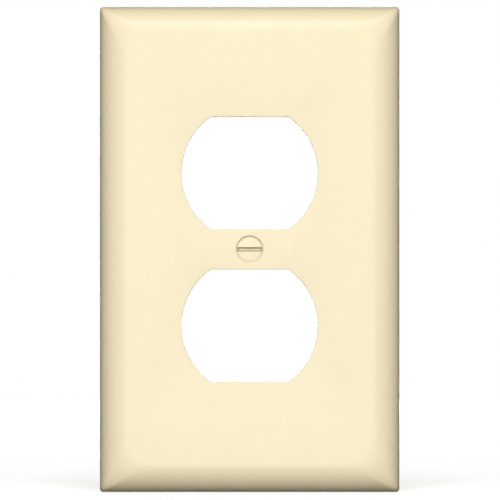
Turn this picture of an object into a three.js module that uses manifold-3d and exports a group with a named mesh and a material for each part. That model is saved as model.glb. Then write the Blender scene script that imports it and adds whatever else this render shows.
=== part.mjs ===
// A one-gang wall plate for a duplex receptacle, with the captive screw that fixes it.
//
// Three pieces: the moulded plate, the oval-head screw in its countersink, and the thin fibre washer that
// grips the screw behind the plate so that it can't drop out.
//
// Units are millimetres. The pieces are drawn lying down, in the plan frame: x across the plate, y up the
// plate, z out of the wall, with z = 0 at the wall's surface. The group stands them up: +X right, +Y into the
// wall, +Z up.

import * as THREE from "three";
import { mergeVertices } from "three/addons/utils/BufferGeometryUtils.js";
import Module from "manifold-3d";

const wasm = await Module();
wasm.setup();

// ---- Driving dimensions ----

const PLATE_WIDTH = 76.5;
const PLATE_HEIGHT = 123.8;
const PLATE_DEPTH = 6.35; // from the wall to the flat of the face
const CORNER_RADIUS = 0.9; // plan corner at the wall
const FACE_CORNER_RADIUS = 7; // plan corner where the face turns flat
const EDGE_LIP = 0.5; // height of the side wall
const EDGE_DRAFT = 0.07; // how far the side wall leans in over that height
const EDGE_RUN = 7.2; // how far in from the side the face starts to fall away
const EDGE_POWER = 1.9; // 2 is an elliptical shoulder, and less is closer to a chamfer

const FACE_THICKNESS = 2.2;
const RIM_THICKNESS = 2;

const OPENING_RADIUS = 17.4;
const OPENING_FLATS = 28.7; // between an opening's upper and lower flat
const OPENING_SPACING = 38.9; // from centre to centre, standard for a duplex receptacle
const COLLAR_THICKNESS = 1.3;
const COLLAR_DROP = 1.4; // how far a collar reaches behind the face

const HEAD_RADIUS = 3.1; // No. 6 oval head
const HEAD_LAND = 0.12; // thin cylindrical rim of the head
const HEAD_CROWN = 0.2; // height of the low oval crown
const HEAD_HALF_ANGLE = THREE.MathUtils.degToRad(41); // 82 degree countersink
const HEAD_SUNK = 0.35; // head rim below the plate's face
const THREAD_RADIUS = 1.75; // No. 6-32, over the crests
const SCREW_LENGTH = 12.7; // 1/2 inch, from the head rim to the tip
const TIP_CHAMFER = 0.5;
const SLOT_WIDTH = 1.15;
const SLOT_DEPTH = 0.7; // from the top of the crown: so shallow that the floor reaches nearly to the rim

const HEAD_CLEARANCE = 0.08; // radial, between the head and its countersink
const SHANK_HOLE_RADIUS = 2;
const BOSS_RADIUS = 4.6;
const BOSS_BACK = 2.6; // height of the boss's back above the wall

const WASHER_RADIUS = 4;
const WASHER_THICKNESS = 0.5;
const WASHER_CLEARANCE = 0.05; // radial, round the thread
const SCREW_TRAVEL = 2; // how far the screw backs out before the washer stops it
const WASHER_SLACK = 0.05; // still left between the washer and the boss at the end of that travel

const RIB_THICKNESS = 1.1;
const SIDE_RIB_X = 24.5; // long ribs, either side of the device strap
const SIDE_RIB_BACK = 1.5; // height of the ribs that stand outside the strap
const INNER_RIB_BACK = 2.6; // height of the ribs that pass over the strap
const END_RIB_X = 8;

// ---- Derived places ----

const FLOOR = PLATE_DEPTH - FACE_THICKNESS; // underside of the face
const COLLAR_BACK = FLOOR - COLLAR_DROP;
const HEAD_RIM = PLATE_DEPTH - HEAD_SUNK;
const WASHER_FRONT = BOSS_BACK - SCREW_TRAVEL - WASHER_SLACK;
const OPENING_CENTRES = [OPENING_SPACING / 2, -OPENING_SPACING / 2];
const CUT = 1; // overshoot of a cutting tool past the face it leaves

// ---- Resolution ----

const EDGE_STEPS = 12;
const CORNER_STEPS = 7;
const ROUND_STEPS = 48;
const ARC_STEPS = 28;

// ---- Solids ----

/** Turns a closed three.js geometry into a manifold-3d solid. */
function toSolid(geometry) {
  const bare = geometry.clone();
  bare.deleteAttribute("normal");
  bare.deleteAttribute("uv");
  const merged = mergeVertices(bare, 1e-4);
  return new wasm.Manifold(
    new wasm.Mesh({
      numProp: 3,
      vertProperties: new Float32Array(merged.attributes.position.array),
      triVerts: new Uint32Array(merged.index.array),
    }),
  );
}

/** Turns a manifold-3d solid back into a three.js geometry. */
function toGeometry(solid) {
  const mesh = solid.getMesh();
  const geometry = new THREE.BufferGeometry();
  geometry.setAttribute("position", new THREE.BufferAttribute(new Float32Array(mesh.vertProperties), 3));
  geometry.setIndex(new THREE.BufferAttribute(new Uint32Array(mesh.triVerts), 1));
  geometry.computeVertexNormals();
  return geometry;
}

/** An upright prism of a plan shape, from height bottom to height top. */
function prism(shape, bottom, top, curveSegments = ARC_STEPS) {
  const options = { depth: top - bottom, bevelEnabled: false, curveSegments };
  return toSolid(new THREE.ExtrudeGeometry(shape, options).translate(0, 0, bottom));
}

/** A round body about the z axis, from [radius, z] points that start and end on the axis. */
function turned(profile) {
  const points = profile.map(([radius, z]) => new THREE.Vector2(radius, z));
  return toSolid(new THREE.LatheGeometry(points, ROUND_STEPS).rotateX(Math.PI / 2));
}

/** A block given by its two opposite corners. */
function block(low, high) {
  const size = high.map((value, axis) => value - low[axis]);
  const middle = high.map((value, axis) => (value + low[axis]) / 2);
  return toSolid(new THREE.BoxGeometry(...size).translate(...middle));
}

/** The corner points of a rounded rectangle, anticlockwise, with the same count for any size. */
function roundedRectangle(halfWidth, halfHeight, radius) {
  const quarters = [
    [1, -1, -Math.PI / 2],
    [1, 1, 0],
    [-1, 1, Math.PI / 2],
    [-1, -1, Math.PI],
  ];
  return quarters.flatMap(([sideX, sideY, start]) => {
    const centreX = sideX * (halfWidth - radius);
    const centreY = sideY * (halfHeight - radius);
    const corner = new THREE.EllipseCurve(centreX, centreY, radius, radius, start, start + Math.PI / 2);
    return corner.getPoints(CORNER_STEPS);
  });
}

/** A closed body through a stack of outlines of equal point count: {points, z} from the bottom up. */
function loft(rings) {
  const count = rings[0].points.length;
  const positions = rings.flatMap(({ points, z }) => points.flatMap((point) => [point.x, point.y, z]));
  const indices = [];
  for (let ring = 0; ring < rings.length - 1; ring++) {
    for (let i = 0; i < count; i++) {
      const next = (i + 1) % count;
      const low = ring * count;
      const high = low + count;
      indices.push(low + i, low + next, high + next, low + i, high + next, high + i);
    }
  }
  const top = (rings.length - 1) * count;
  for (const [a, b, c] of THREE.ShapeUtils.triangulateShape(rings[0].points, [])) indices.push(c, b, a);
  for (const [a, b, c] of THREE.ShapeUtils.triangulateShape(rings.at(-1).points, [])) {
    indices.push(top + a, top + b, top + c);
  }
  const geometry = new THREE.BufferGeometry();
  geometry.setAttribute("position", new THREE.Float32BufferAttribute(positions, 3));
  geometry.setIndex(indices);
  return toSolid(geometry);
}

/**
 * A shallow pillow: sides that lean in by draft from height bottom to height shoulder, then a curved shoulder
 * that turns flat at height top, run in from the sides. The plan corners grow from cornerRadius to
 * faceCornerRadius.
 */
function pillow({
  halfWidth,
  halfHeight,
  bottom,
  shoulder,
  top,
  draft,
  run,
  cornerRadius,
  faceCornerRadius,
}) {
  const rings = [{ points: roundedRectangle(halfWidth, halfHeight, cornerRadius), z: bottom }];
  for (let step = 0; step <= EDGE_STEPS; step++) {
    const turn = (step / EDGE_STEPS) * (Math.PI / 2);
    const inset = draft + (run - draft) * (1 - Math.cos(turn) ** (2 / EDGE_POWER));
    const z = shoulder + (top - shoulder) * Math.sin(turn) ** (2 / EDGE_POWER);
    const radius = THREE.MathUtils.lerp(cornerRadius, faceCornerRadius, inset / run);
    rings.push({ points: roundedRectangle(halfWidth - inset, halfHeight - inset, radius), z });
  }
  return loft(rings);
}

// ---- The plate ----

/** A receptacle opening: a circle cut off by an upper and a lower flat, grown by margin all round. */
function openingShape(centreY, margin = 0) {
  const radius = OPENING_RADIUS + margin;
  const halfFlats = OPENING_FLATS / 2 + margin;
  const reach = Math.asin(halfFlats / radius);
  const shape = new THREE.Shape();
  shape.absarc(0, centreY, radius, -reach, reach, false);
  shape.absarc(0, centreY, radius, Math.PI - reach, Math.PI + reach, false);
  return shape;
}

/** One layer of the plate's wall as a full body: depth 0 is the outside, and 1 the hollow behind the face. */
function plateLayer(depth) {
  const inset = depth * RIM_THICKNESS;
  return pillow({
    halfWidth: PLATE_WIDTH / 2 - inset,
    halfHeight: PLATE_HEIGHT / 2 - inset,
    bottom: -depth * CUT,
    shoulder: EDGE_LIP * (1 - 0.75 * depth),
    top: PLATE_DEPTH - depth * FACE_THICKNESS,
    draft: EDGE_DRAFT * (1 - depth),
    run: EDGE_RUN - inset,
    cornerRadius: CORNER_RADIUS * (1 - 0.5 * depth),
    faceCornerRadius: FACE_CORNER_RADIUS - inset,
  });
}

/** The collar behind an opening, before the opening itself is cut. */
function collar(centreY) {
  return prism(openingShape(centreY, COLLAR_THICKNESS), COLLAR_BACK, FLOOR + FACE_THICKNESS / 2);
}

/** Stiffening ribs behind the face, trimmed half way through the plate's wall. */
function ribs() {
  const top = PLATE_DEPTH;
  const half = RIB_THICKNESS / 2;
  const reachX = PLATE_WIDTH / 2;
  const reachY = PLATE_HEIGHT / 2;
  const made = [];
  for (const side of [-1, 1]) {
    const longRib = side * SIDE_RIB_X;
    made.push(block([longRib - half, -reachY, SIDE_RIB_BACK], [longRib + half, reachY, top]));
    const outwards = [longRib, side * reachX].sort((a, b) => a - b);
    made.push(block([outwards[0], -half, SIDE_RIB_BACK], [outwards[1], half, top]));
    const inwards = [side * OPENING_RADIUS, longRib].sort((a, b) => a - b);
    for (const centreY of OPENING_CENTRES) {
      made.push(block([inwards[0], centreY - half, INNER_RIB_BACK], [inwards[1], centreY + half, top]));
      const endRib = side * END_RIB_X;
      const endways = [centreY + Math.sign(centreY) * (OPENING_FLATS / 2), Math.sign(centreY) * reachY];
      endways.sort((a, b) => a - b);
      made.push(block([endRib - half, endways[0], INNER_RIB_BACK], [endRib + half, endways[1], top]));
    }
  }
  return wasm.Manifold.union(made).intersect(plateLayer(0.5));
}

/** The countersunk screw hole, as the tool that cuts it. */
function screwHole() {
  const rimRadius = HEAD_RADIUS + HEAD_CLEARANCE;
  const coneStart = HEAD_RIM - HEAD_LAND;
  const slope = Math.tan(HEAD_HALF_ANGLE);
  const coneEnd = coneStart - (rimRadius - SHANK_HOLE_RADIUS) / slope;
  const mouth = PLATE_DEPTH + CUT;
  return turned([
    [0, BOSS_BACK - CUT],
    [SHANK_HOLE_RADIUS, BOSS_BACK - CUT],
    [SHANK_HOLE_RADIUS, coneEnd],
    [rimRadius + (mouth - coneStart) * slope, mouth],
    [0, mouth],
  ]);
}

function plateSolid() {
  const shell = plateLayer(0).subtract(plateLayer(1));
  const boss = turned([
    [0, BOSS_BACK],
    [BOSS_RADIUS, BOSS_BACK],
    [BOSS_RADIUS, FLOOR + FACE_THICKNESS / 2],
    [0, FLOOR + FACE_THICKNESS / 2],
  ]);
  const added = [shell, boss, ribs(), ...OPENING_CENTRES.map(collar)];
  const openings = OPENING_CENTRES.map((centreY) => prism(openingShape(centreY), -CUT, PLATE_DEPTH + CUT));
  return wasm.Manifold.union(added).subtract(wasm.Manifold.union([screwHole(), ...openings]));
}

// ---- The screw and its washer ----

/** Points over the domed crown, from the head's rim to the axis. */
function crownPoints() {
  const domeRadius = (HEAD_RADIUS ** 2 + HEAD_CROWN ** 2) / (2 * HEAD_CROWN);
  const domeCentre = HEAD_RIM + HEAD_CROWN - domeRadius;
  const reach = Math.asin(HEAD_RADIUS / domeRadius);
  const steps = 6;
  const points = [];
  for (let step = 1; step <= steps; step++) {
    const angle = reach * (1 - step / steps);
    points.push([domeRadius * Math.sin(angle), domeCentre + domeRadius * Math.cos(angle)]);
  }
  return points;
}

function screwSolid() {
  const tip = HEAD_RIM - SCREW_LENGTH;
  const coneStart = HEAD_RIM - HEAD_LAND;
  const coneEnd = coneStart - (HEAD_RADIUS - THREAD_RADIUS) / Math.tan(HEAD_HALF_ANGLE);
  const body = turned([
    [0, tip],
    [THREAD_RADIUS - TIP_CHAMFER, tip],
    [THREAD_RADIUS, tip + TIP_CHAMFER],
    [THREAD_RADIUS, coneEnd],
    [HEAD_RADIUS, coneStart],
    [HEAD_RADIUS, HEAD_RIM],
    ...crownPoints(),
  ]);
  const crownTop = HEAD_RIM + HEAD_CROWN;
  const reach = HEAD_RADIUS + CUT;
  const half = SLOT_WIDTH / 2;
  const slot = block([-reach, -half, crownTop - SLOT_DEPTH], [reach, half, crownTop + CUT]);
  return body.subtract(slot);
}

function washerSolid() {
  const shape = new THREE.Shape().absarc(0, 0, WASHER_RADIUS, 0, 2 * Math.PI, false);
  const hole = new THREE.Path().absarc(0, 0, THREAD_RADIUS + WASHER_CLEARANCE, 0, 2 * Math.PI, true);
  shape.holes.push(hole);
  return prism(shape, WASHER_FRONT - WASHER_THICKNESS, WASHER_FRONT, ROUND_STEPS);
}

// ---- The assembly ----

const IVORY_PLASTIC = new THREE.MeshStandardMaterial({ color: 0xf6e8c6, roughness: 0.45, metalness: 0 });
const IVORY_PAINT = new THREE.MeshStandardMaterial({ color: 0xf3e4bf, roughness: 0.35, metalness: 0.1 });
const RED_FIBRE = new THREE.MeshStandardMaterial({ color: 0x8a3b2c, roughness: 0.8, metalness: 0 });

function piece(name, solid, material) {
  const mesh = new THREE.Mesh(toGeometry(solid), material);
  mesh.name = name;
  return mesh;
}

const wallPlate = new THREE.Group();
wallPlate.add(
  piece("cover_plate", plateSolid(), IVORY_PLASTIC),
  piece("mounting_screw", screwSolid(), IVORY_PAINT),
  piece("retaining_washer", washerSolid(), RED_FIBRE),
);
wallPlate.rotation.x = Math.PI / 2; // stands the plan frame up, with the face towards -Y

export default wallPlate;
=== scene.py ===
"""A one-gang duplex wall plate with its captive screw, in a plain studio.

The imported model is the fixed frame. Three pieces are built round it at full detail: the moulded plate, the
screw with its thread and slot, and the fibre washer behind the plate.

Meshes are drawn in a plan frame, in millimetres: x across the plate, y up it, z out of the wall, z = 0 at the
wall's surface. Plan.stand() turns a finished mesh into the row frame, in metres, with the face towards -Y.
"""

from __future__ import annotations

import logging
import math
from dataclasses import dataclass
from enum import Enum
from typing import Iterable, Sequence

import bmesh
import bpy
from mathutils import Matrix, Vector

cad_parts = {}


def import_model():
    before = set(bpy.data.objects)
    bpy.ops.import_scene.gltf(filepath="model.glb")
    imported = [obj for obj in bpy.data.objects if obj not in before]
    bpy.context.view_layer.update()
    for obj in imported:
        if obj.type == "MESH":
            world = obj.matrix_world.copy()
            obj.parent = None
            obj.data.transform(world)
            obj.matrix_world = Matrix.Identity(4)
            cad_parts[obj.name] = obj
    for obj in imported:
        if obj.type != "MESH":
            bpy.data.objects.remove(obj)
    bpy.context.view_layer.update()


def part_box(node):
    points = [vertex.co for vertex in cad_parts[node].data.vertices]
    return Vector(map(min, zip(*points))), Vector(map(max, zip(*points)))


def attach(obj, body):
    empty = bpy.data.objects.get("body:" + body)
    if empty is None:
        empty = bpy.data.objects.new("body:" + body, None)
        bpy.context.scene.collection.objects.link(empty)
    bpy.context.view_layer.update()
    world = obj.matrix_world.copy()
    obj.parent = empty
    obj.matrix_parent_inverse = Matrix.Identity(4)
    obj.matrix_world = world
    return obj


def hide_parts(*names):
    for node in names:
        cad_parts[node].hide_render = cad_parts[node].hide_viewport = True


LOG = logging.getLogger("wall_plate")
MM = 0.001
QUARTER_TURN = math.pi / 2.0
# Steps in the quarter turn of a small rounding.
ROUND_STEPS = 3
# A face is square to the screw's axis when the y of its normal is past this.
SQUARE_ON = 0.999995
# Heights and lengths that differ by less are the same, and points closer than WELD become one: millimetres.
SAME = 1e-6
WELD = 1e-5

Point = tuple[float, float]
Band = tuple[float, float]
Colour = tuple[float, float, float]


class Body(Enum):
    """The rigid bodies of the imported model."""

    COVER = "cover"
    WASHER = "washer"
    SCREW = "screw"


class Slot(Enum):
    """The record's material slots."""

    PLASTIC = "ivory_plastic"
    PAINT = "painted_screw"
    FIBRE = "fibre"


class Join(Enum):
    """What a boolean does with its tool."""

    ADD = "UNION"
    CUT = "DIFFERENCE"
    KEEP = "INTERSECT"


# ---- Mesh tools ----


class Plan:
    """Operations on a bmesh in the plan frame."""

    @staticmethod
    def rectangle_ring(
        bm: bmesh.types.BMesh, half: Point, radius: float, z: float, steps: int
    ) -> list[bmesh.types.BMEdge]:
        """Adds a rounded rectangle of wire, centred on the z axis.

        Args:
            bm: The mesh under construction.
            half: Half the width and half the height.
            radius: Radius of the four corners.
            z: Height above the wall.
            steps: Segments round each corner.

        Returns:
            The ring's edges.
        """
        before = set(bm.edges)
        made = bmesh.ops.create_grid(bm, x_segments=1, y_segments=1, size=1.0)
        corners = made["verts"]
        bmesh.ops.scale(bm, vec=(half[0], half[1], 1.0), verts=corners)
        bmesh.ops.translate(bm, vec=(0.0, 0.0, z), verts=corners)
        bmesh.ops.bevel(
            bm, geom=corners, offset=radius, offset_type="OFFSET", affect="VERTICES",
            segments=steps, profile=0.5, material=-1, clamp_overlap=False,
        )
        edges = [edge for edge in bm.edges if edge not in before]
        faces = {face for edge in edges for face in edge.link_faces}
        bmesh.ops.delete(bm, geom=list(faces), context="FACES_ONLY")
        return edges

    @staticmethod
    def opening_ring(
        bm: bmesh.types.BMesh, radius: float, half_flats: float, centre_y: float, z: float, steps: int
    ) -> list[bmesh.types.BMEdge]:
        """Adds a circle of wire cut off by an upper and a lower flat.

        Args:
            bm: The mesh under construction.
            radius: The circle's radius.
            half_flats: Half the distance between the flats.
            centre_y: Height of the circle's centre up the plate.
            z: Height above the wall.
            steps: Segments round each of the two arcs.

        Returns:
            The ring's edges.
        """
        reach = math.asin(half_flats / radius)
        axis = Vector((0.0, 0.0, 1.0))
        sides: list[list[bmesh.types.BMVert]] = []
        for turn in (0.0, math.pi):
            start = Matrix.Rotation(turn - reach, 3, axis) @ Vector((radius, 0.0, z))
            first = bm.verts.new(start)
            chain = [first]
            before = set(bm.verts)
            bmesh.ops.spin(
                bm, geom=[first], cent=(0.0, 0.0, z), axis=axis, dvec=(0.0, 0.0, 0.0),
                angle=2.0 * reach, steps=steps, use_merge=False, use_duplicate=False,
            )
            chain += [vert for vert in bm.verts if vert not in before]
            sides.append(chain)
        edges = {edge for chain in sides for vert in chain for edge in vert.link_edges}
        for above in (1.0, -1.0):
            ends = [max(chain, key=lambda vert: vert.co.y * above) for chain in sides]
            edges.add(bm.edges.new(ends))
        verts = [vert for chain in sides for vert in chain]
        bmesh.ops.translate(bm, vec=(0.0, centre_y, 0.0), verts=verts)
        return list(edges)

    @staticmethod
    def loft(bm: bmesh.types.BMesh, rings: Sequence[list[bmesh.types.BMEdge]]) -> None:
        """Skins a stack of rings and closes both its ends, with the faces pointing out."""
        for lower, upper in zip(rings, rings[1:]):
            bmesh.ops.bridge_loops(bm, edges=[*lower, *upper])
        for end in (rings[0], rings[-1]):
            bmesh.ops.edgeloop_fill(bm, edges=end)
        bmesh.ops.recalc_face_normals(bm, faces=bm.faces)

    @staticmethod
    def block(low: Sequence[float], high: Sequence[float], rounding: float) -> bpy.types.Object:
        """Makes a block whose two long edges on the wall's side are rounded.

        Args:
            low: Its lowest corner.
            high: Its highest corner.
            rounding: Radius of those two edges.

        Returns:
            The block as an object.
        """
        bm = bmesh.new()
        bmesh.ops.create_cube(bm, size=1.0)
        size = [b - a for a, b in zip(low, high)]
        middle = [(a + b) / 2.0 for a, b in zip(low, high)]
        bmesh.ops.scale(bm, vec=size, verts=bm.verts)
        bmesh.ops.translate(bm, vec=middle, verts=bm.verts)
        nearest = [edge for edge in bm.edges if all(vert.co.z < low[2] + SAME for vert in edge.verts)]
        longest = max(edge.calc_length() for edge in nearest)
        long_edges = [edge for edge in nearest if edge.calc_length() > longest - SAME]
        bmesh.ops.bevel(
            bm, geom=long_edges, offset=rounding, offset_type="OFFSET", affect="EDGES",
            segments=ROUND_STEPS, profile=0.5, material=-1, clamp_overlap=True,
        )
        return Plan.to_object(bm, "block")

    @staticmethod
    def turned(profile: Sequence[Point], steps: int) -> bmesh.types.BMesh:
        """Spins a profile about the z axis into a closed body.

        Args:
            profile: Points of (radius, z) that start and end on the axis, or close on themselves.
            steps: Segments round the axis.

        Returns:
            The body's mesh.
        """
        bm = bmesh.new()
        verts = [bm.verts.new((radius, 0.0, z)) for radius, z in profile]
        for first, second in zip(verts, verts[1:]):
            bm.edges.new((first, second))
        if profile[0][0] > 0.0:
            bm.edges.new((verts[-1], verts[0]))
        bmesh.ops.spin(
            bm, geom=[*bm.verts, *bm.edges], cent=(0.0, 0.0, 0.0), axis=(0.0, 0.0, 1.0),
            dvec=(0.0, 0.0, 0.0), angle=2.0 * math.pi, steps=steps, use_merge=True, use_duplicate=False,
        )
        bmesh.ops.remove_doubles(bm, verts=bm.verts, dist=WELD)
        bmesh.ops.recalc_face_normals(bm, faces=bm.faces)
        return bm

    @staticmethod
    def to_object(bm: bmesh.types.BMesh, name: str) -> bpy.types.Object:
        """Turns a bmesh into an object in the scene, and frees it."""
        mesh = bpy.data.meshes.new(name)
        bm.to_mesh(mesh)
        bm.free()
        made = bpy.data.objects.new(name, mesh)
        bpy.context.scene.collection.objects.link(made)
        return made

    @staticmethod
    def combine(target: bpy.types.Object, tools: Iterable[bpy.types.Object], join: Join) -> None:
        """Joins each tool with target, or cuts target by it, and removes the tool."""
        for tool in tools:
            modifier = target.modifiers.new("combine", "BOOLEAN")
            modifier.operation = join.value
            modifier.solver = "MANIFOLD"
            modifier.object = tool
            graph = bpy.context.evaluated_depsgraph_get()
            result = bpy.data.meshes.new_from_object(target.evaluated_get(graph))
            target.modifiers.clear()
            target.data = result
            bpy.data.objects.remove(tool)

    @staticmethod
    def stand(piece: bpy.types.Object) -> None:
        """Turns a finished mesh from the plan frame, in millimetres, into the row frame, in metres."""
        piece.data.transform(Matrix.Scale(MM, 4) @ Matrix.Rotation(QUARTER_TURN, 4, "X"))

    @staticmethod
    def smooth(piece: bpy.types.Object, crease_degrees: float) -> None:
        """Shades a piece smooth, apart from creases and from faces square to the screw's axis.

        Args:
            piece: The piece, standing in the row frame.
            crease_degrees: Edges sharper than this stay creased.
        """
        bm = bmesh.new()
        bm.from_mesh(piece.data)
        many_sided = [face for face in bm.faces if len(face.verts) > 4]
        bmesh.ops.triangulate(bm, faces=many_sided, quad_method="BEAUTY", ngon_method="BEAUTY")
        for face in bm.faces:
            face.smooth = abs(face.normal.y) < SQUARE_ON
        bm.to_mesh(piece.data)
        bm.free()
        piece.data.set_sharp_from_angle(angle=math.radians(crease_degrees))


# ---- Shader tools ----


class Signal:
    """One output socket of a shader node. Arithmetic on it adds Math nodes."""

    def __init__(self, tree: ShaderTree, socket: bpy.types.NodeSocket) -> None:
        """Keeps the socket and the tree it belongs to."""
        self.tree = tree
        self.socket = socket

    def _math(self, operation: str, first: Signal | float, second: Signal | float) -> Signal:
        """Adds a Math node on two values."""
        return self.tree.node("ShaderNodeMath", {"operation": operation}, {0: first, 1: second})

    def __add__(self, other: Signal | float) -> Signal:
        """Adds a value."""
        return self._math("ADD", self, other)

    __radd__ = __add__

    def __mul__(self, other: Signal | float) -> Signal:
        """Multiplies by a value."""
        return self._math("MULTIPLY", self, other)

    __rmul__ = __mul__

    def __sub__(self, other: Signal | float) -> Signal:
        """Takes a value away."""
        return self._math("SUBTRACT", self, other)

    def __rsub__(self, other: Signal | float) -> Signal:
        """Takes this value away from another."""
        return self._math("SUBTRACT", other, self)

    def size(self) -> Signal:
        """Drops the sign."""
        return self._math("ABSOLUTE", self, 0.0)

    def limit(self, low: float, high: float) -> Signal:
        """Maps low to 0 and high to 1, clamped at both."""
        inputs = {"Value": self, "From Min": low, "From Max": high}
        return self.tree.node("ShaderNodeMapRange", {"clamp": True}, inputs)

    def swing(self, amount: float) -> Signal:
        """Spreads a noise from 0 to 1 over this amount, with 0 in the middle."""
        return (self - 0.5) * amount


class ShaderTree:
    """The nodes of one material."""

    def __init__(self, name: str) -> None:
        """Starts a material with an empty node tree."""
        self.material = bpy.data.materials.new(name)
        self.material.use_nodes = True
        self.tree = self.material.node_tree
        self.tree.nodes.clear()

    def node(
        self,
        kind: str,
        settings: dict[str, object] | None = None,
        inputs: dict[str | int, object] | None = None,
        output: str | int = 0,
    ) -> Signal:
        """Adds one node.

        Args:
            kind: The node's type.
            settings: Its properties, set first.
            inputs: Values, or signals to link, by socket name or number.
            output: The output socket wanted.

        Returns:
            That output as a signal.
        """
        made = self.tree.nodes.new(kind)
        for key, value in (settings or {}).items():
            setattr(made, key, value)
        for key, value in (inputs or {}).items():
            if isinstance(value, Signal):
                self.tree.links.new(value.socket, made.inputs[key])
            elif isinstance(value, tuple) and len(value) == 3 and made.inputs[key].type == "RGBA":
                made.inputs[key].default_value = (*value, 1.0)
            else:
                made.inputs[key].default_value = value
        return Signal(self, made.outputs[output])

    def place(self) -> Signal:
        """The position on the piece, in metres."""
        return self.node("ShaderNodeTexCoord", output="Object")

    def along(self, axis: str) -> Signal:
        """The position along X, Y or Z of the row frame, in metres."""
        return self.node("ShaderNodeSeparateXYZ", None, {0: self.place()}, output=axis)

    def off_axis(self) -> Signal:
        """The square of the distance from the screw's axis, in square metres."""
        x, z = self.along("X"), self.along("Z")
        return x * x + z * z

    def noise(self, scale: float, detail: float = 2.0, roughness: float = 0.5) -> Signal:
        """A noise value from 0 to 1 on the piece's position, with scale features to the metre."""
        inputs = {"Vector": self.place(), "Scale": scale, "Detail": detail, "Roughness": roughness}
        return self.node("ShaderNodeTexNoise", {"noise_dimensions": "3D"}, inputs)

    def mix(self, factor: Signal | float, first: Signal | Colour, second: Signal | Colour) -> Signal:
        """Mixes two colours: the first at factor 0 and the second at factor 1."""
        inputs = {0: factor, 6: first, 7: second}
        return self.node("ShaderNodeMix", {"data_type": "RGBA"}, inputs, output=2)

    def bump(self, height: Signal, strength: float, distance: float) -> Signal:
        """A bumped normal from a height, with distance in metres."""
        inputs = {"Height": height, "Strength": strength, "Distance": distance}
        return self.node("ShaderNodeBump", None, inputs)

    def surface(self, **sockets: object) -> bpy.types.Material:
        """Ends the tree with a Principled shader and returns the material."""
        inputs = {name.replace("_", " "): value for name, value in sockets.items()}
        shader = self.node("ShaderNodeBsdfPrincipled", None, inputs)
        end = self.tree.nodes.new("ShaderNodeOutputMaterial")
        self.tree.links.new(shader.socket, end.inputs["Surface"])
        return self.material


# ---- Finishes ----
#
# A scale is in features to the metre. A band is where a value starts to count and where it counts in full. A
# share is how far that takes the colour, a gloss is how far it moves the roughness, and a relief is the
# height of the bumps in metres.


@dataclass(frozen=True)
class IvoryPlastic:
    """Satin moulded thermoset in light ivory, with painted shade in the countersink under the screw's head.

    The painted shade's band is in metres below the seat; it reaches out to the seat's radius times its reach.
    """

    light: Colour = (0.93, 0.815, 0.545)
    warm: Colour = (0.905, 0.785, 0.515)
    # Colour of the painted shade in the countersink under the screw's head.
    seat_shade: Colour = (0.5, 0.42, 0.26)
    roughness: float = 0.42
    cloud_scale: float = 28.0
    cloud_band: Band = (0.3, 0.75)
    cloud_share: float = 0.35
    speck_scale: float = 420.0
    speck_band: Band = (0.45, 0.8)
    speck_share: float = 0.15
    speck_gloss: float = 0.08
    speck_relief: float = 0.3
    grain_scale: float = 2600.0
    grain_gloss: float = 0.06
    grain_relief: float = 0.7
    relief: float = 0.02 * MM
    # Band, reach and strength of the painted shade in the countersink.
    seat_shade_below: Band = (0.04 * MM, 0.1 * MM)
    seat_shade_reach: float = 1.1
    seat_shade_least: float = 0.7
    seat_shade_mottle: float = 0.4

    def build(self, face: float, seat_depth: float, seat_radius: float) -> bpy.types.Material:
        """Makes the material: a faint cloudiness, a fine eggshell grain from the mould, and painted shade
        round the seat.

        Args:
            face: Height of the plate's face above the wall, in metres.
            seat_depth: How far below the face the screw's head starts to bear, in metres.
            seat_radius: Radius of the countersink there, in metres.

        Returns:
            The material.
        """
        tree = ShaderTree("ivory_plastic")
        cloud = tree.noise(self.cloud_scale, detail=3.0)
        speck = tree.noise(self.speck_scale)
        grain = tree.noise(self.grain_scale, detail=3.0, roughness=0.6)
        cloudy = cloud.limit(*self.cloud_band) * self.cloud_share
        specked = speck.limit(*self.speck_band) * self.speck_share
        plain = tree.mix(cloudy + specked, self.light, self.warm)
        # Painted shade: the countersink's wall under the screw's head is darkened and mottled by the grain,
        # standing in for the shade in the gap round the head.
        deep = (tree.along("Y") + face).limit(*(seat_depth + below for below in self.seat_shade_below))
        near = tree.off_axis().limit((seat_radius * self.seat_shade_reach) ** 2, seat_radius**2)
        mark = deep * near * (grain * self.seat_shade_mottle + self.seat_shade_least)
        colour = tree.mix(mark, plain, self.seat_shade)
        rough = speck.swing(self.speck_gloss) + grain.swing(self.grain_gloss) + self.roughness
        height = grain * self.grain_relief + speck * self.speck_relief
        normal = tree.bump(height, strength=0.25, distance=self.relief)
        return tree.surface(Base_Color=colour, Roughness=rough, Normal=normal)


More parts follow.
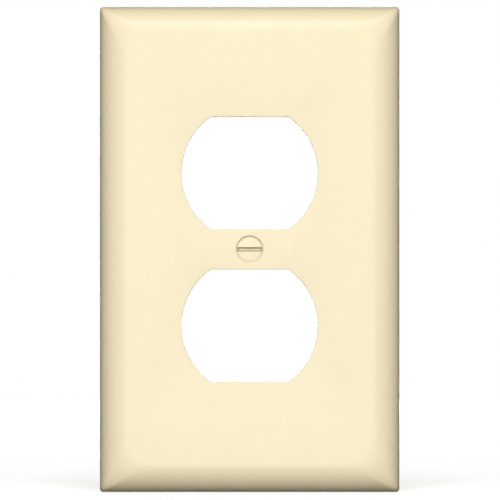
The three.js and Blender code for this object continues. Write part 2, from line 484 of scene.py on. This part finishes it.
@dataclass(frozen=True)
class EnamelPaint:
    """Baked ivory enamel on the screw's head, thinner in the slot, where painted shade darkens it.

    The slot's mouth and floor have bands in metres, and its walls and corners in parts of its half width.
    """

    light: Colour = (0.92, 0.8, 0.54)
    worn: Colour = (0.8, 0.68, 0.44)
    # Colour of the painted shade in the slot.
    slot: Colour = (0.3, 0.26, 0.15)
    roughness: float = 0.36
    peel_scale: float = 3200.0
    peel_gloss: float = 0.1
    thin_scale: float = 900.0
    thin_band: Band = (0.55, 0.8)
    thin_share: float = 0.25
    relief: float = 0.02 * MM
    wall_band: Band = (1.06, 1.01)
    mouth_band: Band = (0.1 * MM, 0.3 * MM)
    floor_band: Band = (0.05 * MM, 0.02 * MM)
    corner_band: Band = (0.2, 0.5)
    # How dark the slot's painted shade is in the middle and along the walls, its least share and mottle, and
    # the slot's extra roughness.
    middle_shade: float = 0.12
    corner_shade: float = 0.68
    least_shade: float = 0.85
    shade_mottle: float = 0.3
    slot_gloss: float = 0.25

    def build(self, slot_half: float, slot_depth: float, crown: float) -> bpy.types.Material:
        """Makes the material: thin paint with a slight orange peel, and painted shade in the slot, darkest
        along its walls.

        Args:
            slot_half: Half the slot's width, in metres.
            slot_depth: The slot's depth below the crown's top, in metres.
            crown: Height of the crown's top above the wall, in metres.

        Returns:
            The material.
        """
        tree = ShaderTree("ivory_enamel")
        peel = tree.noise(self.peel_scale)
        thin = tree.noise(self.thin_scale, detail=3.0)
        paint = tree.mix(thin.limit(*self.thin_band) * self.thin_share, self.light, self.worn)
        across = tree.along("Z").size()
        depth = tree.along("Y") + crown
        above_floor = depth.limit(*(slot_depth + below for below in self.floor_band))
        between_walls = across.limit(*(slot_half * part for part in self.wall_band))
        inside = between_walls * depth.limit(*self.mouth_band) * above_floor
        # Painted shade: the slot's floor and walls are darkened, most towards the walls, and mottled by the
        # thin paint.
        cornered = across.limit(*(slot_half * part for part in self.corner_band))
        slot_shade = inside * (cornered * self.corner_shade + self.middle_shade)
        colour = tree.mix(slot_shade * (thin * self.shade_mottle + self.least_shade), paint, self.slot)
        rough = peel.swing(self.peel_gloss) + inside * self.slot_gloss + self.roughness
        normal = tree.bump(peel, strength=0.2, distance=self.relief)
        return tree.surface(Base_Color=colour, Roughness=rough, Normal=normal)


@dataclass(frozen=True)
class ZincPlate:
    """Dull zinc on the screw's thread."""

    bright: Colour = (0.58, 0.58, 0.56)
    dull: Colour = (0.4, 0.4, 0.38)
    roughness: float = 0.52
    patch_scale: float = 700.0
    patch_band: Band = (0.4, 0.7)
    patch_gloss: float = 0.2
    relief: float = 0.02 * MM

    def build(self) -> bpy.types.Material:
        """Makes the material: plated steel with dull patches."""
        tree = ShaderTree("zinc_plate")
        patch = tree.noise(self.patch_scale, detail=4.0)
        colour = tree.mix(patch.limit(*self.patch_band), self.bright, self.dull)
        rough = patch.swing(self.patch_gloss) + self.roughness
        normal = tree.bump(patch, strength=0.15, distance=self.relief)
        return tree.surface(Base_Color=colour, Roughness=rough, Metallic=1.0, Normal=normal)


@dataclass(frozen=True)
class VulcanFibre:
    """Red-brown vulcanised fibre."""

    light: Colour = (0.36, 0.085, 0.045)
    dark: Colour = (0.22, 0.045, 0.028)
    roughness: float = 0.72
    strand_scale: float = 1500.0
    strand_band: Band = (0.35, 0.65)
    strand_share: float = 0.8
    strand_gloss: float = 0.2
    patch_scale: float = 300.0
    patch_share: float = 0.2
    relief: float = 0.04 * MM

    def build(self) -> bpy.types.Material:
        """Makes the material: pressed paper fibre with short matted strands."""
        tree = ShaderTree("vulcan_fibre")
        strands = tree.noise(self.strand_scale, detail=5.0, roughness=0.7)
        patch = tree.noise(self.patch_scale)
        darkness = strands.limit(*self.strand_band) * self.strand_share + patch * self.patch_share
        colour = tree.mix(darkness, self.light, self.dark)
        rough = strands.swing(self.strand_gloss) + self.roughness
        normal = tree.bump(strands, strength=0.5, distance=self.relief)
        return tree.surface(Base_Color=colour, Roughness=rough, Normal=normal)


@dataclass(frozen=True)
class StudioWhite:
    """The plain pale floor."""

    paper: Colour = (0.85, 0.85, 0.85)
    glow: float = 0.55

    def build(self) -> bpy.types.Material:
        """Makes the material."""
        tree = ShaderTree("studio_white")
        return tree.surface(
            Base_Color=self.paper, Roughness=1.0, Emission_Color=(1.0, 1.0, 1.0), Emission_Strength=self.glow
        )


# ---- The plate ----


@dataclass(frozen=True)
class HeadFit:
    """The screw's head and the countersink that takes it, in millimetres."""

    radius: float = 3.1
    land: float = 0.12
    crown: float = 0.2
    sunk: float = 0.35
    half_angle: float = math.radians(41.0)
    clearance: float = 0.08

    @property
    def slope(self) -> float:
        """How far the cone grows sideways for each millimetre of its height."""
        return math.tan(self.half_angle)

    @property
    def seat_depth(self) -> float:
        """How far below the face the head's cone starts."""
        return self.sunk + self.land

    @property
    def seat_radius(self) -> float:
        """Radius of the countersink at that depth."""
        return self.radius + self.clearance


@dataclass
class PillowLayer:
    """A full body with slightly drafted sides and a shoulder that turns flat at the top, in millimetres.

    The flat stands face_crown above the end of the shoulder, so that no two rings lie in one plane.
    """

    half: Point
    bottom: float
    shoulder: float
    top: float
    draft: float
    run: float
    corner: float
    face_corner: float
    power: float
    foot_round: float
    edge_steps: int = 28
    corner_steps: int = 12
    flat_border: float = 0.5
    face_crown: float = 0.002

    def stations(self) -> list[tuple[float, float, float]]:
        """The rings from the bottom up, as (inset from the side, z, corner radius)."""
        found: list[tuple[float, float, float]] = []
        if self.foot_round > 0.0:
            for step in range(ROUND_STEPS):
                turn = step / ROUND_STEPS * QUARTER_TURN
                inset = self.foot_round * (1.0 - math.sin(turn))
                z = self.bottom + self.foot_round * (1.0 - math.cos(turn))
                found.append((inset, z, self.corner - inset))
        found.append((0.0, self.bottom + self.foot_round, self.corner))
        exponent = 2.0 / self.power
        for step in range(self.edge_steps + 1):
            turn = step / self.edge_steps * QUARTER_TURN
            inset = self.draft + (self.run - self.draft) * (1.0 - max(math.cos(turn), 0.0) ** exponent)
            rise = (self.top - self.face_crown - self.shoulder) * math.sin(turn) ** exponent
            corner = self.corner + (self.face_corner - self.corner) * inset / self.run
            found.append((inset, self.shoulder + rise, corner))
        found.append((self.run + self.flat_border, self.top, self.face_corner - self.flat_border / 2.0))
        return found

    def build(self, name: str) -> bpy.types.Object:
        """Makes the body."""
        bm = bmesh.new()
        rings = []
        for inset, z, corner in self.stations():
            half = (self.half[0] - inset, self.half[1] - inset)
            rings.append(Plan.rectangle_ring(bm, half, corner, z, self.corner_steps))
        Plan.loft(bm, rings)
        return Plan.to_object(bm, name)


@dataclass
class CoverPlate:
    """The moulded plate: pillow face, receptacle openings, countersunk screw hole, and the ribs behind.

    Sizes are in millimetres, and a back is a height above the wall.
    """

    width: float
    height: float
    depth: float
    corner: float = 0.9
    face_corner: float = 7.0
    lip: float = 0.5
    foot_round: float = 0.15
    edge_draft: float = 0.07
    edge_run: float = 7.2
    edge_power: float = 1.9
    face_thickness: float = 2.2
    rim_thickness: float = 2.0
    hollow_lip_loss: float = 0.75
    hollow_corner_loss: float = 0.5
    opening_radius: float = 17.4
    opening_flats: float = 28.7
    opening_spacing: float = 38.9
    opening_round: float = 0.16
    opening_round_steps: int = 5
    opening_flare: float = 0.05
    collar_thickness: float = 1.3
    collar_drop: float = 1.4
    collar_flare: float = 0.1
    back_round: float = 0.2
    boss_radius: float = 4.6
    boss_back: float = 2.6
    hole_radius: float = 2.0
    hole_chamfer: float = 0.15
    countersink_flare: float = 0.08
    countersink_rise: float = 0.4
    head: HeadFit = HeadFit()
    rib_thickness: float = 1.1
    side_rib_x: float = 24.5
    side_rib_back: float = 1.5
    inner_rib_back: float = 2.6
    end_rib_x: float = 8.0
    pin_radius: float = 1.6
    pin_depth: float = 0.12
    pin_spacing: float = 16.0
    pin_past_opening: float = 14.0
    arc_steps: int = 40
    boss_steps: int = 72
    hole_steps: int = 96
    pin_steps: int = 32
    crease_degrees: float = 32.0
    overshoot: float = 1.0

    @property
    def floor(self) -> float:
        """Height of the face's underside."""
        return self.depth - self.face_thickness

    @property
    def middle(self) -> float:
        """Height half way through the face, where the parts behind it are rooted."""
        return self.depth - self.face_thickness / 2.0

    @property
    def collar_back(self) -> float:
        """Height of the collars' back."""
        return self.floor - self.collar_drop

    @property
    def centres(self) -> tuple[float, float]:
        """Heights of the two openings' centres."""
        return self.opening_spacing / 2.0, -self.opening_spacing / 2.0

    def layer(self, depth: float, name: str) -> bpy.types.Object:
        """Makes one layer of the plate's wall as a full body.

        Args:
            depth: 0 for the outside, 1 for the hollow behind the face.
            name: The body's name.

        Returns:
            The body.
        """
        inset = depth * self.rim_thickness
        return PillowLayer(
            half=(self.width / 2.0 - inset, self.height / 2.0 - inset),
            bottom=-depth * self.overshoot,
            shoulder=self.lip * (1.0 - self.hollow_lip_loss * depth),
            top=self.depth - depth * self.face_thickness,
            draft=self.edge_draft * (1.0 - depth),
            run=self.edge_run - inset,
            corner=self.corner * (1.0 - self.hollow_corner_loss * depth),
            face_corner=self.face_corner - inset,
            power=self.edge_power,
            foot_round=self.foot_round if depth == 0.0 else 0.0,
        ).build(name)

    def opening_body(self, centre_y: float, path: Sequence[Point]) -> bpy.types.Object:
        """Lofts an opening's outline along a path of (growth of the outline, z)."""
        bm = bmesh.new()
        half_flats = self.opening_flats / 2.0
        rings = [
            Plan.opening_ring(
                bm, self.opening_radius + margin, half_flats + margin, centre_y, z, self.arc_steps
            )
            for margin, z in path
        ]
        Plan.loft(bm, rings)
        return Plan.to_object(bm, "opening")

    def collar(self, centre_y: float) -> bpy.types.Object:
        """Makes the collar behind an opening, filled, with its outer back edge rounded."""
        back, outer = self.collar_back, self.collar_thickness
        path = [(outer - self.back_round, back), *self.rounded_back(outer, back, 1.0)]
        path.append((outer, self.middle))
        return self.opening_body(centre_y, path)

    def rounded_back(self, edge: float, back: float, outward: float) -> list[Point]:
        """Rounds the edge between a back face and a side wall.

        Args:
            edge: Where the side wall stands.
            back: Height of the back face.
            outward: 1 round a solid, -1 round an opening.

        Returns:
            The points of the quarter turn, after the first.
        """
        radius = self.back_round
        turns = [step / ROUND_STEPS * QUARTER_TURN for step in range(1, ROUND_STEPS + 1)]
        return [
            (edge - outward * radius * (1.0 - math.sin(turn)), back + radius * (1.0 - math.cos(turn)))
            for turn in turns
        ]

    def opening_cutter(self, centre_y: float) -> bpy.types.Object:
        """Makes the tool that cuts an opening, flared to round its front edge and its back edge."""
        back = self.collar_back
        path = [(self.back_round + self.collar_flare, back - self.overshoot), (self.back_round, back)]
        path += self.rounded_back(0.0, back, -1.0)
        for step in range(self.opening_round_steps + 1):
            turn = step / self.opening_round_steps * QUARTER_TURN
            margin = self.opening_round * (1.0 - math.cos(turn))
            path.append((margin, self.depth - self.opening_round * (1.0 - math.sin(turn))))
        last, before = path[-1], path[-2]
        slope = (last[1] - before[1]) / (last[0] - before[0])
        flared = last[0] + self.opening_flare
        path[-1] = (flared, last[1] + self.opening_flare * slope)
        path.append((flared, self.depth + self.overshoot))
        return self.opening_body(centre_y, path)

    def boss(self) -> bpy.types.Object:
        """Makes the boss round the screw hole, filled."""
        back, radius = self.boss_back, self.boss_radius
        profile = [(0.0, back), (radius - self.back_round, back), *self.rounded_back(radius, back, 1.0)]
        profile += [(radius, self.middle), (0.0, self.middle)]
        return Plan.to_object(Plan.turned(profile, self.boss_steps), "boss")

    def screw_hole_cutter(self) -> bpy.types.Object:
        """Makes the tool that cuts the countersunk screw hole."""
        slope, flare = self.head.slope, self.countersink_flare
        mouth = self.head.seat_radius + self.head.seat_depth * slope
        cone_end = self.depth - (mouth - self.hole_radius) / slope
        chamfered = self.hole_radius + self.hole_chamfer
        profile = [
            (0.0, self.boss_back - self.overshoot),
            (chamfered, self.boss_back - self.overshoot),
            (chamfered, self.boss_back),
            (self.hole_radius, self.boss_back + self.hole_chamfer),
            (self.hole_radius, cone_end),
            (mouth - flare * slope, self.depth - flare),
            (mouth + flare, self.depth + flare * self.countersink_rise),
            (mouth + flare, self.depth + self.overshoot),
            (0.0, self.depth + self.overshoot),
        ]
        return Plan.to_object(Plan.turned(profile, self.hole_steps), "screw hole")

    def rib_spans(self) -> list[tuple[Point, Point, float]]:
        """Each rib as its lowest corner in plan, its highest corner in plan, and the height of its back."""
        half = self.rib_thickness / 2.0
        reach_x, reach_y = self.width / 2.0, self.height / 2.0
        spans: list[tuple[Point, Point, float]] = []
        for side in (-1.0, 1.0):
            long_x = side * self.side_rib_x
            spans.append(((long_x - half, -reach_y), (long_x + half, reach_y), self.side_rib_back))
            outwards = sorted((long_x, side * reach_x))
            spans.append(((outwards[0], -half), (outwards[1], half), self.side_rib_back))
            inwards = sorted((side * self.opening_radius, long_x))
            end_x = side * self.end_rib_x
            for centre in self.centres:
                spans.append(((inwards[0], centre - half), (inwards[1], centre + half), self.inner_rib_back))
                outer = math.copysign(1.0, centre)
                ends = sorted((centre + outer * self.opening_flats / 2.0, outer * reach_y))
                spans.append(((end_x - half, ends[0]), (end_x + half, ends[1]), self.inner_rib_back))
        return spans

    def ribs(self) -> list[bpy.types.Object]:
        """Makes the stiffening ribs, each trimmed half way through the plate's wall."""
        made = []
        for low, high, back in self.rib_spans():
            rib = Plan.block((*low, back), (*high, self.middle), self.back_round)
            Plan.combine(rib, [self.layer(0.5, "wall middle")], Join.KEEP)
            made.append(rib)
        return made

    def pin_marks(self) -> list[bpy.types.Object]:
        """Makes the shallow round marks that the mould's ejector pins leave behind the face."""
        made = []
        reach = self.opening_spacing / 2.0 + self.opening_flats / 2.0 + self.pin_past_opening
        back, front = self.floor - self.overshoot, self.floor + self.pin_depth
        profile = [(0.0, back), (self.pin_radius, back), (self.pin_radius, front), (0.0, front)]
        for x in (-self.pin_spacing, 0.0, self.pin_spacing):
            for y in (-reach, reach):
                bm = Plan.turned(profile, self.pin_steps)
                bmesh.ops.translate(bm, vec=(x, y, 0.0), verts=bm.verts)
                made.append(Plan.to_object(bm, "pin mark"))
        return made

    def build(self, finish: IvoryPlastic) -> bpy.types.Object:
        """Moulds the plate and sets it on its body.

        Args:
            finish: The plastic it is moulded in.

        Returns:
            The finished piece.
        """
        plate = self.layer(0.0, "moulded_plate")
        Plan.combine(plate, [self.layer(1.0, "hollow")], Join.CUT)
        collars = [self.collar(centre) for centre in self.centres]
        Plan.combine(plate, [*collars, self.boss(), *self.ribs()], Join.ADD)
        openings = [self.opening_cutter(centre) for centre in self.centres]
        Plan.combine(plate, [*openings, self.screw_hole_cutter(), *self.pin_marks()], Join.CUT)
        Plan.stand(plate)
        plate.data.materials.clear()
        seat_depth, seat_radius = self.head.seat_depth * MM, self.head.seat_radius * MM
        plate.data.materials.append(finish.build(self.depth * MM, seat_depth, seat_radius))
        Plan.smooth(plate, self.crease_degrees)
        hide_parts("cover_plate")
        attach(plate, Body.COVER.value)
        return plate


# ---- The screw and its washer ----


@dataclass
class MountingScrew:
    """An oval-head slotted machine screw, in millimetres.

    The head ends in a stub that the thread grows over, and its paint stops bare_cone above the neck.
    """

    face: float
    head: HeadFit = HeadFit()
    crest_radius: float = 1.75
    root_radius: float = 1.32
    pitch: float = 0.794
    length: float = 12.7
    tip_chamfer: float = 0.5
    slot_width: float = 1.15
    slot_depth: float = 0.7
    slot_floor_round: float = 0.08
    rounding: float = 0.04
    stub: float = 0.6
    stub_taper: float = 0.25
    thread_end: float = 0.3
    bare_cone: float = 0.4
    head_steps: int = 96
    crown_steps: int = 14
    turn_steps: int = 40
    thread_weld: float = 1e-4
    crease_degrees: float = 30.0
    overshoot: float = 1.0

    @property
    def rim(self) -> float:
        """Height of the head's rim."""
        return self.face - self.head.sunk

    @property
    def tip(self) -> float:
        """Height of the tip, which is behind the wall's surface."""
        return self.rim - self.length

    @property
    def neck(self) -> float:
        """Height at which the head's cone meets the thread."""
        return self.rim - self.head.land - (self.head.radius - self.crest_radius) / self.head.slope

    def blank(self) -> bpy.types.Object:
        """Turns the head and cuts its slot."""
        radius, crown_height = self.head.radius, self.head.crown
        dome = (radius**2 + crown_height**2) / (2.0 * crown_height)
        centre = self.rim + crown_height - dome
        reach = math.asin(radius / dome)
        turns = [reach * (1 - step / self.crown_steps) for step in range(1, self.crown_steps)]
        crown = [(dome * math.sin(turn), centre + dome * math.cos(turn)) for turn in turns]
        profile = [
            (0.0, self.neck - self.stub),
            (self.root_radius, self.neck - self.stub),
            (self.root_radius, self.neck - self.stub_taper),
            (self.crest_radius, self.neck),
            (radius - self.rounding, self.rim - self.head.land),
            (radius, self.rim - self.head.land + self.rounding),
            (radius, self.rim - self.rounding / 2.0),
            *crown,
            (0.0, self.rim + crown_height),
        ]
        made = Plan.to_object(Plan.turned(profile, self.head_steps), "oval_head_screw")
        Plan.combine(made, [self.slot_cutter()], Join.CUT)
        return made

    def slot_cutter(self) -> bpy.types.Object:
        """Makes the tool that cuts the slot."""
        top = self.rim + self.head.crown
        reach = self.head.radius + self.overshoot
        half = self.slot_width / 2.0
        low = (-reach, -half, top - self.slot_depth)
        return Plan.block(low, (reach, half, top + self.overshoot), self.slot_floor_round)

    def thread(self) -> bpy.types.Object:
        """Winds the thread: one turn of its profile, spun along the screw and trimmed at both ends."""
        bm = bmesh.new()
        crest, root = self.crest_radius, self.root_radius
        flat = self.pitch / 8.0
        heights = (0.0, flat, self.pitch / 2.0, self.pitch / 2.0 + flat, self.pitch)
        radii = (root, root, crest, crest, root)
        start = self.tip - 2.0 * self.pitch
        verts = [bm.verts.new((radius, 0.0, start + z)) for radius, z in zip(radii, heights)]
        edges = [bm.edges.new(pair) for pair in zip(verts, verts[1:])]
        turns = math.ceil((self.neck - start) / self.pitch) + 1
        bmesh.ops.spin(
            bm, geom=[*verts, *edges], cent=(0.0, 0.0, 0.0), axis=(0.0, 0.0, 1.0),
            dvec=(0.0, 0.0, self.pitch / self.turn_steps), angle=2.0 * math.pi * turns,
            steps=self.turn_steps * turns, use_merge=False, use_duplicate=False,
        )
        bmesh.ops.remove_doubles(bm, verts=bm.verts, dist=self.thread_weld)
        for height, keep in ((self.tip, 1.0), (self.neck - self.thread_end, -1.0)):
            bmesh.ops.bisect_plane(
                bm, geom=[*bm.verts, *bm.edges, *bm.faces], dist=SAME, plane_co=(0.0, 0.0, height),
                plane_no=(0.0, 0.0, keep), clear_inner=True, clear_outer=False,
            )
        for vert in bm.verts:
            self._taper(vert)
        bmesh.ops.holes_fill(bm, edges=[edge for edge in bm.edges if edge.is_boundary], sides=0)
        bmesh.ops.recalc_face_normals(bm, faces=bm.faces)
        return Plan.to_object(bm, "thread")

    def _taper(self, vert: bmesh.types.BMVert) -> None:
        """Draws a point of the thread in to the tip's chamfer."""
        radius = math.hypot(vert.co.x, vert.co.y)
        allowed = self.crest_radius - self.tip_chamfer + (vert.co.z - self.tip)
        if radius > allowed:
            vert.co.x *= allowed / radius
            vert.co.y *= allowed / radius

    def build(self, paint: EnamelPaint, plating: ZincPlate) -> bpy.types.Object:
        """Makes the screw and sets it on its body.

        Args:
            paint: The finish of the head.
            plating: The finish of the thread.

        Returns:
            The finished piece.
        """
        screw = self.blank()
        Plan.combine(screw, [self.thread()], Join.ADD)
        Plan.stand(screw)
        screw.data.materials.clear()
        crown = (self.rim + self.head.crown) * MM
        enamel = paint.build(self.slot_width / 2.0 * MM, self.slot_depth * MM, crown)
        screw.data.materials.append(enamel)
        screw.data.materials.append(plating.build())
        for face in screw.data.polygons:
            face.material_index = 1 if -face.center.y < (self.neck + self.bare_cone) * MM else 0
        Plan.smooth(screw, self.crease_degrees)
        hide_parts("mounting_screw")
        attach(screw, Body.SCREW.value)
        return screw


@dataclass
class RetainingWasher:
    """The thin fibre washer that keeps the screw captive, in millimetres."""

    radius: float = 4.0
    hole_radius: float = 1.8
    thickness: float = 0.5
    back: float = 0.05
    rounding: float = 0.08
    steps: int = 96
    crease_degrees: float = 30.0

    def build(self, fibre: VulcanFibre) -> bpy.types.Object:
        """Makes the washer in its fibre finish and sets it on its body."""
        front = self.back + self.thickness
        cut = self.rounding
        profile = [
            (self.hole_radius, self.back + cut),
            (self.hole_radius + cut, self.back),
            (self.radius - cut, self.back),
            (self.radius, self.back + cut),
            (self.radius, front - cut),
            (self.radius - cut, front),
            (self.hole_radius + cut, front),
            (self.hole_radius, front - cut),
        ]
        washer = Plan.to_object(Plan.turned(profile, self.steps), "fibre_washer")
        Plan.stand(washer)
        washer.data.materials.append(fibre.build())
        Plan.smooth(washer, self.crease_degrees)
        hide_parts("retaining_washer")
        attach(washer, Body.WASHER.value)
        return washer


# ---- The studio ----


@dataclass(frozen=True)
class Softbox:
    """A soft rectangular light that faces the object and isn't seen itself, in metres and watts."""

    name: str
    place: tuple[float, float, float]
    size: Point
    watts: float

    def build(self, target: Vector) -> None:
        """Hangs the light, aimed at the target."""
        data = bpy.data.lights.new(self.name, "AREA")
        data.shape = "RECTANGLE"
        data.size, data.size_y = self.size
        data.energy = self.watts
        made = bpy.data.objects.new(self.name, data)
        made.location = self.place
        towards = target - Vector(self.place)
        made.rotation_euler = towards.to_track_quat("-Z", "Y").to_euler()
        made.visible_camera = False
        bpy.context.scene.collection.objects.link(made)


# One at the lens, one above it, a weak one at each side and one straight behind.
SOFTBOXES = (
    Softbox("front", place=(0.0, -1.5, 0.0), size=(0.7, 0.7), watts=10.2),
    Softbox("front_high", place=(0.0, -2.0, 1.68), size=(1.2, 1.2), watts=39.2),
    Softbox("side", place=(-1.06, -1.06, 0.13), size=(0.7, 0.7), watts=1.8),
    Softbox("side", place=(1.06, -1.06, 0.13), size=(0.7, 0.7), watts=1.8),
    Softbox("back", place=(0.0, 1.5, 0.1), size=(0.9, 0.7), watts=12.0),
)


@dataclass
class Studio:
    """Camera, lights, floor and background, in metres."""

    centre: Vector
    lowest: float
    camera_distance: float = 2.0
    field_width: float = 0.12771
    aim_right: float = 0.000085
    aim_up: float = -0.00015
    sensor: float = 36.0
    nearest: float = 0.01
    farthest: float = 50.0
    floor_size: float = 1.2
    floor_gap: float = 0.0002
    ambient: float = 0.02

    def camera(self) -> None:
        """Sets a long lens square on to the face."""
        data = bpy.data.cameras.new("camera")
        data.sensor_width = self.sensor
        data.lens = self.sensor * self.camera_distance / self.field_width
        data.clip_start, data.clip_end = self.nearest, self.farthest
        made = bpy.data.objects.new("camera", data)
        made.location = (
            self.centre.x + self.aim_right,
            -self.camera_distance,
            self.centre.z + self.aim_up,
        )
        made.rotation_euler = (QUARTER_TURN, 0.0, 0.0)
        bpy.context.scene.collection.objects.link(made)
        bpy.context.scene.camera = made

    def lights(self) -> None:
        """Hangs the softboxes."""
        for softbox in SOFTBOXES:
            softbox.build(self.centre)

    def floor(self) -> None:
        """Lays the pale floor under the plate, where it neither lights nor shades nor shows in the gloss."""
        bm = bmesh.new()
        bmesh.ops.create_grid(bm, x_segments=1, y_segments=1, size=self.floor_size)
        bmesh.ops.translate(bm, vec=(0.0, 0.0, self.lowest - self.floor_gap), verts=bm.verts)
        made = Plan.to_object(bm, "floor")
        made.data.materials.append(StudioWhite().build())
        made.visible_diffuse = False
        made.visible_glossy = False
        made.visible_transmission = False
        made.visible_shadow = False

    def background(self) -> None:
        """Makes the background white to the lens and dim as a source of light."""
        world = bpy.data.worlds.new("studio")
        world.use_nodes = True
        nodes, links = world.node_tree.nodes, world.node_tree.links
        nodes.clear()
        path = nodes.new("ShaderNodeLightPath")
        mix = nodes.new("ShaderNodeMixShader")
        links.new(path.outputs["Is Camera Ray"], mix.inputs[0])
        for socket, strength in ((1, self.ambient), (2, 1.0)):
            glow = nodes.new("ShaderNodeBackground")
            glow.inputs["Color"].default_value = (1.0, 1.0, 1.0, 1.0)
            glow.inputs["Strength"].default_value = strength
            links.new(glow.outputs[0], mix.inputs[socket])
        out = nodes.new("ShaderNodeOutputWorld")
        links.new(mix.outputs[0], out.inputs["Surface"])
        bpy.context.scene.world = world

    def build(self) -> None:
        """Sets up the whole studio."""
        bpy.context.scene.view_settings.view_transform = "Standard"
        self.camera()
        self.lights()
        self.floor()
        self.background()


def report(piece: bpy.types.Object) -> None:
    """Logs a finished piece."""
    LOG.info("%s: %d faces", piece.name, len(piece.data.polygons))


def main() -> None:
    """Builds the plate, the screw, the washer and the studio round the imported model."""
    logging.basicConfig(level=logging.INFO, format="%(name)s: %(message)s")
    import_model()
    low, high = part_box("cover_plate")
    Studio(centre=(low + high) / 2.0, lowest=low.z).build()
    size = (high - low) / MM
    report(CoverPlate(width=size.x, height=size.z, depth=size.y).build(IvoryPlastic()))
    report(MountingScrew(face=size.y).build(EnamelPaint(), ZincPlate()))
    report(RetainingWasher().build(VulcanFibre()))


if __name__ == "__main__":
    main()
